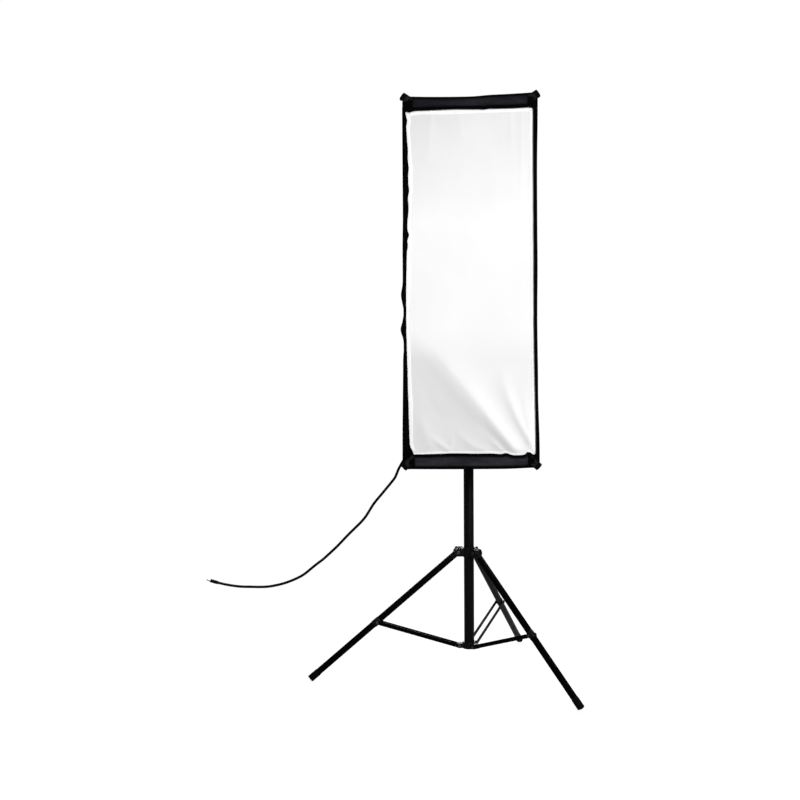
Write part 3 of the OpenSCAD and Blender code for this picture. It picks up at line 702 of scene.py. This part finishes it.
def diffusion_cloth(name="diffusion_cloth", bright=1.0, glow=0.0, top_painted_shade=0.32, fold_painted_shade=0.42):
    """Thin white cloth with painted shade: whitest across its middle, and painted greyer at its top and
    below its long fold. Glow makes it give off a faint painted light in its own colour.
    """
    shader = Shader(name, 0.85, specular=0.10)
    parts = shader.node("ShaderNodeSeparateXYZ", Vector=shader.place)
    across, up = parts.outputs["X"], parts.outputs["Z"]
    # Painted shade: greyer towards the top, and more so at the left
    top = shader.maths("MULTIPLY", shader.remap(up, CENTRE_Z + 0.16, CENTRE_Z + 0.44, 0, 1), top_painted_shade)
    rest = shader.remap(across, CENTRE_X - 0.17, CENTRE_X + 0.02, 1.5, 1.0)
    # Painted shade: greyer below the long fold, whose line slopes down to the right
    below = shader.maths("SUBTRACT", FOLD_Z, shader.maths("MULTIPLY_ADD", across, 1.25, up))
    lower = shader.remap(up, CENTRE_Z - 0.20, CENTRE_Z - 0.12, fold_painted_shade, 0)
    shade = shader.maths("MULTIPLY", shader.remap(below, -0.01, 0.045, 0.3, 1), lower)
    # The two painted shades together, with faint clouds of tone all over
    shade_and_clouds = shader.maths("ADD", shader.maths("MULTIPLY", top, rest), shade)
    shade_and_clouds = shader.maths("ADD", shade_and_clouds, shader.remap(shader.noise(5, 3), 0.3, 0.7, 0.0, 0.10))
    low = (0.55 * bright, 0.55 * bright, 0.556 * bright)
    high = (0.98 * bright, 0.98 * bright, 0.982 * bright)
    base = shader.tint(shade_and_clouds, high, low)
    shader.weave(0.45 * MM, 0.00003)
    shader.bump(shader.noise(160, 4), 0.0002, 0.35)
    shader.set("Sheen Weight", 0.08)
    # Painted glow: the cloth gives off light in its own colour, though no lamp shines through it
    shader.link(base, shader.surface.inputs["Emission Color"])
    shader.set("Emission Strength", glow)
    return shader.material


def mat_cloth():
    shader = Shader("mat_cloth", 0.6, specular=0.3)
    shader.tint(shader.noise(30, 4), (0.035, 0.035, 0.040), (0.065, 0.065, 0.072))
    shader.weave(1.1 * MM, 0.00012)
    return shader.material


def led():
    shader = Shader("led", 0.35)
    shader.tint(shader.noise(700, 2), (0.93, 0.76, 0.28), (0.86, 0.66, 0.18))
    shader.bump(shader.noise(1200, 2), 0.00005, 0.5)
    return shader.material


def lead_jacket():
    low, high = (0.0014, 0.0014, 0.0016), (0.0032, 0.0032, 0.0035)
    grain = (700, 3, 0.00006, 0.5)
    return grained("lead_jacket", (80, 4), low, high, grain, (150, 4, 0.42, 0.62), specular=0.05)


def thread(name, colour):
    shader = Shader(name, 0.7, specular=0.05)
    twist = shader.wave(0.5 * MM, "DIAGONAL")
    shader.tint(twist, tuple(c * 0.7 for c in colour), tuple(c * 1.3 for c in colour))
    shader.bump(twist, 0.00008)
    return shader.material


# The materials of the frame's slots, by name
MAKERS = (
    powder_coat, black_nylon, rubber, steel, natural_nylon, rod_glass, rod_steel, knob_plastic, box_cloth,
    silver_cloth, diffusion_cloth, webbing, mat_cloth, led, lead_jacket,
)
MATERIALS = {maker.__name__: maker() for maker in MAKERS}
# Lit and shaded copies of the box cloth: the sides and the back are painted paler as painted light, and the
# front lip blacker as painted shade
SIDE_CLOTH = box_cloth("side_cloth", "Y", "Z", 2.5)
BACK_CLOTH = box_cloth("back_cloth", "X", "Z", 4.0)
LIP_CLOTH = box_cloth("lip_cloth", "X", "Z", 0.6, 0.0)
# The corner pockets' webbing, with painted highlight and shade held in its mesh
POCKET_WEBBING = webbing("pocket_webbing", painted_highlight=True)
LOOP_TAPE = loop_tape()
BINDING = binding()
# The hem: a slightly whiter copy of the diffusion cloth, with weaker painted shade and a faint painted glow
HEM_CLOTH = diffusion_cloth("hem_cloth", 1.03, 0.06, 0.08, 0.16)
BLACK_THREAD = thread("black_thread", (0.003, 0.003, 0.0033))
WHITE_THREAD = thread("white_thread", (0.75, 0.75, 0.75))


def dress(piece, material, stands_for=None):
    """Gives a piece its material and body, and hides the CAD node that it stands for."""
    piece.data.materials.clear()
    piece.data.materials.append(material)
    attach(piece, "head")
    if stands_for:
        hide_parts(stands_for)


def sew(name, runs, material=BLACK_THREAD, stitch=3.2 * MM, gap=0.9 * MM):
    """Makes one piece of the stitches along all the runs."""
    verts, faces = [], []
    for run in runs:
        stitch_run(verts, faces, run, stitch, gap)
    dress(add_piece(name, verts, faces), material)


# ---- CAD nodes: materials, rounded edges and smooth shading ----

# Lit and shaded copies of the powder coat: the column and the rear leg are painted paler as painted
# highlights, and the front legs and braces blacker as painted shade
LIT_AND_SHADED_COATS = {
    "main_tube": powder_coat("column_coat_painted_highlight", 1.4),
    "leg_tube_rear": powder_coat("rear_leg_coat_painted_highlight", 2.6),
}
# Painted shade: blacker copies of the coat for the front legs and braces
for part in ("leg_tube_left", "leg_tube_right", "brace_left", "brace_right"):
    LIT_AND_SHADED_COATS[part] = powder_coat(part + "_coat", 0.35)

# The width in millimetres of the rounded edges of each slot's nodes
BEVELS = {
    "powder_coat": 0.5, "black_nylon": 0.7, "rubber": 0.8, "steel": 0.3, "natural_nylon": 0.3,
    "rod_glass": 0.2, "rod_steel": 0.2, "knob_plastic": 0.8, "led": 0.2, "lead_jacket": 0.3,
}


def finish_cad_nodes():
    """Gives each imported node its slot's material, rounded edges and smooth shading."""
    slots = {part["node"]: part["material_slot"] for part in frame["record"]["subparts"]}
    for name, node in frame["nodes"].items():
        slot = slots[name]
        node.data.materials.clear()
        node.data.materials.append(LIT_AND_SHADED_COATS.get(name, MATERIALS[slot]))
        weld = node.modifiers.new("weld", "WELD")
        weld.merge_threshold = 0.01 * MM
        if slot in BEVELS:
            bevel = node.modifiers.new("rounded_edges", "BEVEL")
            bevel.width = BEVELS[slot] * MM
            bevel.segments = 2
            bevel.limit_method = "ANGLE"
            bevel.angle_limit = math.radians(38)
            bevel.use_clamp_overlap = True
            bevel.harden_normals = False
        node.data.polygons.foreach_set("use_smooth", [True] * len(node.data.polygons))


finish_cad_nodes()


# ---- Fabric box ----


def build_skirt():
    """The cloth of the box's four sides."""
    grid = [[side_point(k, q) for k in range(len(OUTLINE))] for q in shares_of(21)]
    skirt = add_sheet("box_sides", grid, ring_columns=True)
    thicken(skirt, CLOTH_T)
    dress(skirt, SIDE_CLOTH, stands_for="skirt")


def edge_cord(name, q, radius, flat, lift):
    """Binding that runs all round the box's side at the depth share q."""
    path = [side_point(k, q, lift) for k in range(len(OUTLINE))]
    cord = sweep(name, path, oval(radius, flat), closed=True)
    dress(cord, BINDING)


def build_border():
    """The two bands and the two narrow sides round the opening, and the binding of the opening's edge."""
    count = len(OUTLINE)
    shares = [0.0, 0.015, 0.05, 0.12, 0.22, 0.34, 0.46, 0.58, 0.70, 0.81, 0.90, 0.96, 1.0]
    grid = [[border_point(k, share) for k in range(count)] for share in shares]
    border = add_sheet("front_lip", grid, ring_columns=True)
    thicken(border, 1.6 * MM, offset=1.0)
    dress(border, LIP_CLOTH, stands_for="front_border")
    inner = [border_point(k, 0.985, 1.0 * MM) for k in range(count)]
    cord = sweep("opening_binding", inner, oval(2.3 * MM, 0.9 * MM), closed=True)
    dress(cord, BINDING)


def band_tape(name, up, painted_highlight):
    """The strip of loop tape sewn along the top or the bottom band, with a painted highlight down its
    middle; the last argument gives its strength.
    """
    stations = [
        k for k, (u, _, _, nv) in enumerate(OUTLINE)
        if nv * up > 0.99 and abs(u) < HALF_W - POCKET_W
    ]
    if OUTLINE[stations[0]][0] > OUTLINE[stations[-1]][0]:
        stations.reverse()
    shares = [0.15, 0.16, 0.27, 0.38, 0.49, 0.60, 0.71, 0.82, 0.83]
    lifts = [1.2, 2.3, 2.6, 2.7, 2.7, 2.7, 2.6, 2.3, 1.2]
    rows = [[border_point(k, s, h * MM) for k in stations] for s, h in zip(shares, lifts)]
    tape = add_sheet(name, rows)
    low, high = shares[0], shares[-1]
    # Painted highlight: strongest down the tape's middle, fading across it and towards the corner pockets
    hold_painted_light(tape, [
        painted_highlight * math.sin(math.pi * (share - low) / (high - low)) ** 0.45
        * smooth(HALF_W - abs(OUTLINE[k][0]), 18 * MM, 34 * MM)
        for share in shares for k in stations
    ])
    thicken(tape, 0.5 * MM, offset=0.0)
    dress(tape, LOOP_TAPE)
    sew(name + "_stitches", [
        [(border_point(k, share, 2.85 * MM), FORWARD) for k in stations]
        for share in (0.18, 0.80)
    ])


def build_diffuser():
    """The diffusion cloth, a little larger than the opening."""
    grid = [
        [sheet_point(OPENING_SHIFT + u, v) for u in spread(SHEET_HALF_W, 83)]
        for v in spread(SHEET_HALF_H, 215)
    ]
    sheet = add_sheet("diffusion_sheet", grid)
    thicken(sheet, 0.4 * MM, offset=1.0)
    dress(sheet, MATERIALS["diffusion_cloth"], stands_for="diffuser")


# The hem's width, and the share by which it is narrower along the bottom
HEM_W = 12 * MM
HEM_NARROWING = 0.45


def hem_point(station, share, lift, ragged=False):
    """A point on the hem: share 0 is the opening's edge and 1 is the hem's inner edge, which is ragged."""
    iu, iv = opening_edge(station)
    _, _, nu, nv = OPENING[station]
    inward = HEM_W * share * (1 - HEM_NARROWING * max(0.0, -nv))
    if ragged:
        fine = 0.10 * noise.noise(Vector((iu * 45, iv * 45, 3.0)))
        slow = 0.45 * noise.noise(Vector((iu * 9, iv * 9, 6.0)))
        inward *= 1 + fine + slow
    return sheet_point(iu - nu * inward, iv - hang(iu, iv) - nv * inward, lift)


def build_hem():
    """The doubled edge of the diffusion cloth, with its row of stitches."""
    count = len(OUTLINE)
    shares = (-0.35, 0.0, 0.35, 0.7, 0.94, 1.0)
    lifts = (0.5, 0.6, 0.65, 0.65, 0.55, 0.1)
    rows = [
        [hem_point(k, share, lift * MM, share > 0.5) for k in range(count)]
        for share, lift in zip(shares, lifts)
    ]
    hem = add_sheet("diffusion_hem", rows, ring_columns=True)
    thicken(hem, 0.3 * MM, offset=0.0)
    dress(hem, HEM_CLOTH)
    run = [(hem_point(k, 0.72, 0.75 * MM), FORWARD) for k in range(count)]
    sew("diffusion_hem_stitches", [run], WHITE_THREAD)


def back_bulge(u, v):
    """How far the back panel stands out behind the box."""
    span = (1 - (u / HALF_W) ** 2) * (1 - (v / HALF_H) ** 2)
    slow = noise.noise(Vector((u * 8, v * 5, 12.0)))
    fine = noise.noise(Vector((u * 24, v * 24, 2.0)))
    edge = min(HALF_W - abs(u), HALF_H - abs(v))
    return (1.6 * span + (1.1 * slow + 0.4 * fine) * smooth(edge, 0.0, 0.05)) * MM


def back_point(u, v, lift=0.0):
    """A point on the outside of the back panel, u right of and v above the box's middle."""
    return Vector((CENTRE_X + u, BACK_Y + back_bulge(u, v) + lift, CENTRE_Z + v))


def build_back():
    """The back panel, as rings from its middle out to the rounded outline."""
    rings = 26
    tuck = 1.5 * MM
    count = len(OUTLINE)
    rows = [
        [back_point((u - nu * tuck) * share, (v - nv * tuck) * share) for u, v, nu, nv in OUTLINE]
        for share in shares_of(rings)
    ]
    verts = [rows[0][0]] + [p for row in rows[1:] for p in row]
    faces = [(0, 1 + (k + 1) % count, 1 + k) for k in range(count)]
    for a, b, c, d in strip_faces(rings, count, ring_columns=True):
        faces.append((a + 1, b + 1, c + 1, d + 1))
    panel = add_piece("back_cloth", verts, faces)
    thicken(panel, CLOTH_T)
    dress(panel, BACK_CLOTH, stands_for="back_panel")


def build_lining():
    """The crinkled silver cloth inside the box's sides."""
    inset = CLOTH_T + 1.5 * MM
    grid = []
    for share in shares_of(11):
        y = lining_high.y + (lining_low.y - lining_high.y) * share
        q = (BACK_Y - y) / DEPTH
        line = []
        for k, (u, v, nu, nv) in enumerate(OUTLINE):
            crinkle = 0.7 * MM * noise.noise(Vector((u * 60, v * 60, q * 7 + 5)))
            depth = inset + crinkle * math.sin(math.pi * share) ** 0.5
            outer = side_point(k, q)
            line.append(Vector((outer.x - nu * depth, y, outer.z - nv * depth)))
        grid.append(line)
    lining = add_sheet("silver_lining", grid, ring_columns=True)
    thicken(lining, 0.5 * MM)
    dress(lining, MATERIALS["silver_cloth"], stands_for="lining")


def build_mat():
    """The LED mat: a thin padded sheet, pressed in a little between its lights, with a bound edge."""
    half_w = (mat_high.x - mat_low.x) / 2
    half_h = (mat_high.z - mat_low.z) / 2
    pitch = 50 * MM
    thick = mat_high.y - mat_low.y
    front = []
    for v in spread(half_h, 183):
        line = []
        for u in spread(half_w, 61):
            edge = min(half_w - abs(u), half_h - abs(v))
            hollow = 0.25 * MM * (1 - math.cos(2 * math.pi * (u / pitch + 0.5)) ** 2)
            hollow += 0.9 * MM * (1 - smooth(edge, 0.0, 3 * MM))
            line.append(Vector((CENTRE_X + u, mat_low.y + hollow, CENTRE_Z + v)))
        front.append(line)
    mat = add_sheet("led_mat_cover", front)
    thicken(mat, thick - 1.2 * MM, offset=1.0)
    dress(mat, MATERIALS["mat_cloth"], stands_for="led_mat")
    tuck, corner_r = 1.5 * MM, 5 * MM
    path = [
        Vector((CENTRE_X + u, (mat_low.y + mat_high.y) / 2, CENTRE_Z + v))
        for u, v, _, _ in rounded_loop(half_w - tuck, half_h - tuck, corner_r)
    ]
    cord = sweep("led_mat_binding", path, oval(1.6 * MM, 1.35 * MM), closed=True)
    dress(cord, BINDING)


# The corner pockets: (side, up) to the direction outwards in degrees from level, how far the pocket has
# slipped across and up, and how far its sewn end reaches in, all in millimetres
POCKETS = {
    (-1, 1): (33, 0.5, -1.5, 34),
    (1, 1): (33, 0.0, 3.0, 27),
    (-1, -1): (42, -1.5, 3.5, 36),
    (1, -1): (42, 1.5, 3.0, 32),
}
# The webbing's width, how far it stands out past a rod's tip and how deep it reaches down the box's corner,
# how far its own corners are rounded off, how far before the border it lies, and the radius of its bend
POCKET_W = 21 * MM
POCKET_OUT = 5.2 * MM
POCKET_DEPTH = 20 * MM
POCKET_ROUNDING = 4.5 * MM
POCKET_LIFT = 2.2 * MM
POCKET_BEND = 2.6 * MM


def pocket_point(side, up, s, p, lift=0.0):
    """A point on a pocket: s runs along the webbing from its sewn end and p across it, both in metres."""
    degrees, slip_x, slip_z, reach = POCKETS[(side, up)]
    angle = math.radians(degrees)
    out = Vector((side * math.cos(angle), 0, up * math.sin(angle)))
    across = Vector((-out.z, 0, out.x))
    tip = Vector((CENTRE_X + side * TIP_X + slip_x * MM, 0, CENTRE_Z + up * TIP_Z + slip_z * MM))
    front_y = BORDER_Y - POCKET_LIFT
    flat = reach * MM + POCKET_OUT - POCKET_BEND
    quarter = POCKET_BEND * math.pi / 2
    wrap = 0.0
    if s < flat:
        a = s - reach * MM
        y = front_y
        normal = FORWARD
    elif s < flat + quarter:
        turn = (s - flat) / POCKET_BEND
        a = POCKET_OUT - POCKET_BEND + POCKET_BEND * math.sin(turn)
        y = front_y + POCKET_BEND * (1 - math.cos(turn))
        normal = FORWARD * math.cos(turn) + out * math.sin(turn)
        wrap = 0.35 * turn
    else:
        a = POCKET_OUT
        y = front_y + POCKET_BEND + (s - flat - quarter)
        normal = out
        wrap = 0.55 + 0.45 * smooth(y - front_y, POCKET_BEND, POCKET_BEND + 6 * MM)
    rim = abs(p) / (POCKET_W / 2)
    a -= wrap * POCKET_ROUNDING * rim ** 3
    narrow = 1 - 0.10 * wrap * rim
    crumple = 0.35 * MM * noise.noise(Vector((s * 160, p * 160, side * 3 + up * 5)))
    return tip + out * a + across * (p * narrow) + Vector((0, y, 0)) + normal * (lift + crumple)


def build_pockets():
    """Folded webbing over each rod's tip, with a boxed cross of stitches."""
    rows, columns = 44, 15
    verts, faces, painted_light, seams = [], [], [], []
    for (side, up), (_, _, _, reach) in POCKETS.items():
        length = reach * MM + POCKET_OUT + POCKET_DEPTH
        first = len(verts)
        for s in [length * t for t in shares_of(rows - 1)]:
            for p in spread(POCKET_W / 2, columns - 1):
                verts.append(pocket_point(side, up, s, p))
                # Painted highlight down the webbing's middle, and painted shade over its outer end from
                # just short of the rod's tip, where it wraps away
                middle = 1 - (2 * p / POCKET_W) ** 2
                painted_light.append(middle * (1 - smooth(s, (reach - 13) * MM, (reach - 2) * MM)))
        flip = side * up > 0
        for a, b, c, d in strip_faces(rows, columns):
            face = (first + a, first + b, first + c, first + d)
            faces.append(face if flip else tuple(reversed(face)))
        near, far, wide = 2.5 * MM, 16.5 * MM, 6.3 * MM
        corners = [(near, -wide), (far, -wide), (far, wide), (near, wide)]
        runs = [(corners[i], corners[(i + 1) % 4]) for i in range(4)]
        runs += [(corners[0], corners[2]), (corners[1], corners[3])]
        for a, b in runs:
            seams.append([(pocket_point(side, up, s, p, 0.75 * MM), FORWARD) for s, p in between(a, b, 12)])
    pockets = add_piece("corner_webbing", verts, faces)
    hold_painted_light(pockets, painted_light)
    thicken(pockets, 1.3 * MM, offset=0.0)
    dress(pockets, POCKET_WEBBING, stands_for="corner_pockets")
    sew("corner_webbing_stitches", seams, stitch=2.2 * MM, gap=0.5 * MM)


# The supply lead follows the frame's lead: straight out of the box, then one long bend
LEAD_SLOPE = math.radians(53)
LEAD_STRAIGHT = 264 * MM
LEAD_BEND = 330 * MM
LEAD_TURN = math.radians(69)
LEAD_LENGTH = LEAD_STRAIGHT + LEAD_BEND * LEAD_TURN
LEAD_INSIDE = 52 * MM
LEAD_HEIGHT = 15 * MM
# The jacket is a fifth thicker than the frame's lead
LEAD_R = 1.2 * (lead_high.y - lead_low.y) / 2
# Slack waves in the lead, by their distance from the box, stand below its line
LEAD_WAVES = (
    (0.048, 7.8, 0.095),
    (0.199, 7.6, 0.050),
    (0.346, -5.8, 0.150),
    (0.428, 5.9, 0.039),
    (0.492, 6.3, 0.057),
)


def lead_point(s):
    """The middle of the lead, s metres from where it leaves the box."""
    start = Vector((skirt_low.x, (lead_low.y + lead_high.y) / 2, skirt_low.z + LEAD_HEIGHT))
    slope = LEAD_SLOPE - max(0.0, s - LEAD_STRAIGHT) / LEAD_BEND
    heading = Vector((-math.cos(slope), 0, -math.sin(slope)))
    if s <= LEAD_STRAIGHT:
        point = start + heading * s
    else:
        cos, sin = math.cos(LEAD_SLOPE), math.sin(LEAD_SLOPE)
        bend_start = start + Vector((-cos, 0, -sin)) * LEAD_STRAIGHT
        middle = bend_start + Vector((-sin, 0, cos)) * LEAD_BEND
        point = middle + Vector((math.sin(slope), 0, -math.cos(slope))) * LEAD_BEND
    free = smooth(s, 0.02, 0.06) * (1 - smooth(s, LEAD_LENGTH - 0.10, LEAD_LENGTH - 0.02))
    in_plane = bumps(s, LEAD_WAVES) + 0.9 * noise.noise(Vector((s * 24.0, 8.0, 0)))
    sideways = 6.0 * noise.noise(Vector((s * 6.0, 1.0, 5.5)))
    normal = Vector((-heading.z, 0, heading.x))
    return point + normal * (in_plane * free * MM) + Vector((0, sideways * free * MM, 0))


def build_lead():
    """The supply lead, from inside the box to its plug."""
    path = [lead_point(-LEAD_INSIDE + (LEAD_LENGTH + LEAD_INSIDE) * t) for t in shares_of(170)]
    lead = sweep("supply_lead", path, oval(LEAD_R, LEAD_R, 14))
    dress(lead, MATERIALS["lead_jacket"], stands_for="lead")


def build_back_details():
    """The patch sewn to the back panel behind the hub."""
    patch = 74 * MM
    places = spread(patch, 14)
    piece = add_sheet("hub_patch", [[back_point(u, v, 1.2 * MM) for u in places] for v in places])
    thicken(piece, 1.6 * MM, offset=0.0)
    dress(piece, MATERIALS["webbing"])
    seams = []
    for inset in (5 * MM, 12 * MM):
        half = patch - inset
        corners = [(-half, -half), (half, -half), (half, half), (-half, half), (-half, -half)]
        for a, b in zip(corners, corners[1:]):
            seams.append([(back_point(u, v, 2.1 * MM), -FORWARD) for u, v in between(a, b, 20)])
    sew("hub_patch_stitches", seams)


def side_stitches(name, q):
    """A row of stitches round the box's sides at the depth share q."""
    run = []
    for k, (_, _, nu, nv) in enumerate(OUTLINE + OUTLINE[:1]):
        run.append((side_point(k, q, 0.15 * MM), Vector((nu, 0, nv))))
    sew(name, [run])


build_skirt()
build_border()
# The top tape gets a weaker painted highlight than the bottom tape
band_tape("top_loop_tape", 1, 0.52)
band_tape("bottom_loop_tape", -1, 1.0)
build_diffuser()
build_hem()
build_back()
build_back_details()
build_lining()
build_mat()
build_pockets()
build_lead()
edge_cord("front_binding", 0.985, 1.5 * MM, 1.8 * MM, 0.5 * MM)
edge_cord("back_binding", 0.012, 1.7 * MM, 1.7 * MM, 0.4 * MM)
side_stitches("front_edge_stitches", 0.925)
side_stitches("back_edge_stitches", 0.07)

# ---- Floor, light and camera ----

# How bright the studio's white is as a source of light and to the camera, and the floor's own glow under
# the object as a share of that
LIGHT_LEVEL = 0.30
CAMERA_LEVEL = 1.02
FLOOR_GLOW = 0.86
CAMERA_PLACE = (-0.123, -3.6985, 0.9486)
CAMERA_YAW = math.radians(-1.03)
CAMERA_PITCH = math.radians(-2.72)
CAMERA_ROLL = math.radians(-0.37)


def studio_level(tree):
    """A brightness that differs for what the camera sees and for what lights the object."""
    path = tree.nodes.new("ShaderNodeLightPath")
    level = tree.nodes.new("ShaderNodeMapRange")
    level.inputs["To Min"].default_value = LIGHT_LEVEL
    level.inputs["To Max"].default_value = CAMERA_LEVEL
    tree.links.new(path.outputs["Is Camera Ray"], level.inputs["Value"])
    return level.outputs["Result"]


def build_floor():
    """White paper, lit so evenly that only soft shadows tell it from the studio's white."""
    half = 30.0
    corner = [(-half, -half), (half, -half), (half, half), (-half, half)]
    floor = add_piece("floor", [(x, y, -0.0004) for x, y in corner], [(0, 1, 2, 3)])
    shader = Shader("floor_paper", 0.9, specular=0.05)
    shader.tint(shader.noise(2, 2), (0.92, 0.92, 0.92), (0.94, 0.94, 0.94))
    tree = shader.tree
    glow = shader.node("ShaderNodeEmission", Strength=studio_level(tree))
    distance = tree.nodes.new("ShaderNodeVectorMath")
    distance.operation = "LENGTH"
    shader.link(shader.place, distance.inputs[0])
    far = shader.remap(distance.outputs["Value"], 0.5, 1.6, FLOOR_GLOW, 1.0)
    blend = tree.nodes.new("ShaderNodeMixShader")
    shader.link(far, blend.inputs[0])
    shader.link(shader.surface.outputs[0], blend.inputs[1])
    shader.link(glow.outputs[0], blend.inputs[2])
    shader.link(blend.outputs[0], tree.nodes["Material Output"].inputs["Surface"])
    floor.data.materials.append(shader.material)


def area_light(name, location, target, size, energy):
    """A rectangular lamp that faces its target."""
    light = bpy.data.lights.new(name, "AREA")
    light.shape = "RECTANGLE"
    light.size, light.size_y = size
    light.energy = energy
    lamp = bpy.data.objects.new(name, light)
    lamp.location = location
    lamp.rotation_mode = "QUATERNION"
    lamp.rotation_quaternion = (Vector(target) - Vector(location)).to_track_quat("-Z", "Y")
    scene.collection.objects.link(lamp)


def build_world():
    """A white studio: bright to the camera, dimmer as a source of light."""
    world = bpy.data.worlds.new("studio")
    scene.world = world
    world.use_nodes = True
    tree = world.node_tree
    background = tree.nodes["Background"]
    background.inputs["Color"].default_value = (1, 1, 1, 1)
    tree.links.new(studio_level(tree), background.inputs["Strength"])


def build_camera():
    """The viewpoint: near the height of the box's lower half, almost square on to its front."""
    data = bpy.data.cameras.new("camera")
    data.lens = 60.0
    data.sensor_width = 36.0
    camera = bpy.data.objects.new("camera", data)
    level = Vector((math.sin(CAMERA_YAW), math.cos(CAMERA_YAW), 0)) * math.cos(CAMERA_PITCH)
    forward = level + Vector((0, 0, math.sin(CAMERA_PITCH)))
    right = Vector((math.cos(CAMERA_YAW), -math.sin(CAMERA_YAW), 0))
    up = right.cross(forward)
    rolled_right = right * math.cos(CAMERA_ROLL) + up * math.sin(CAMERA_ROLL)
    rolled_up = up * math.cos(CAMERA_ROLL) - right * math.sin(CAMERA_ROLL)
    turn = Matrix((rolled_right, rolled_up, -forward)).transposed()
    camera.matrix_world = Matrix.Translation(CAMERA_PLACE) @ turn.to_4x4()
    scene.collection.objects.link(camera)
    scene.camera = camera


build_floor()
build_world()
area_light("key_light", (3.2, -5.2, 3.0), (0, -0.2, 1.0), (2.6, 2.6), 360)
area_light("top_light", (-0.4, 0.4, 4.2), (0, 0, 0.4), (2.2, 2.2), 60)
area_light("back_light", (-0.2, 5.4, 3.0), (0, 0.1, 0.9), (2.4, 2.4), 460)
build_camera()
scene.view_settings.view_transform = "Standard"
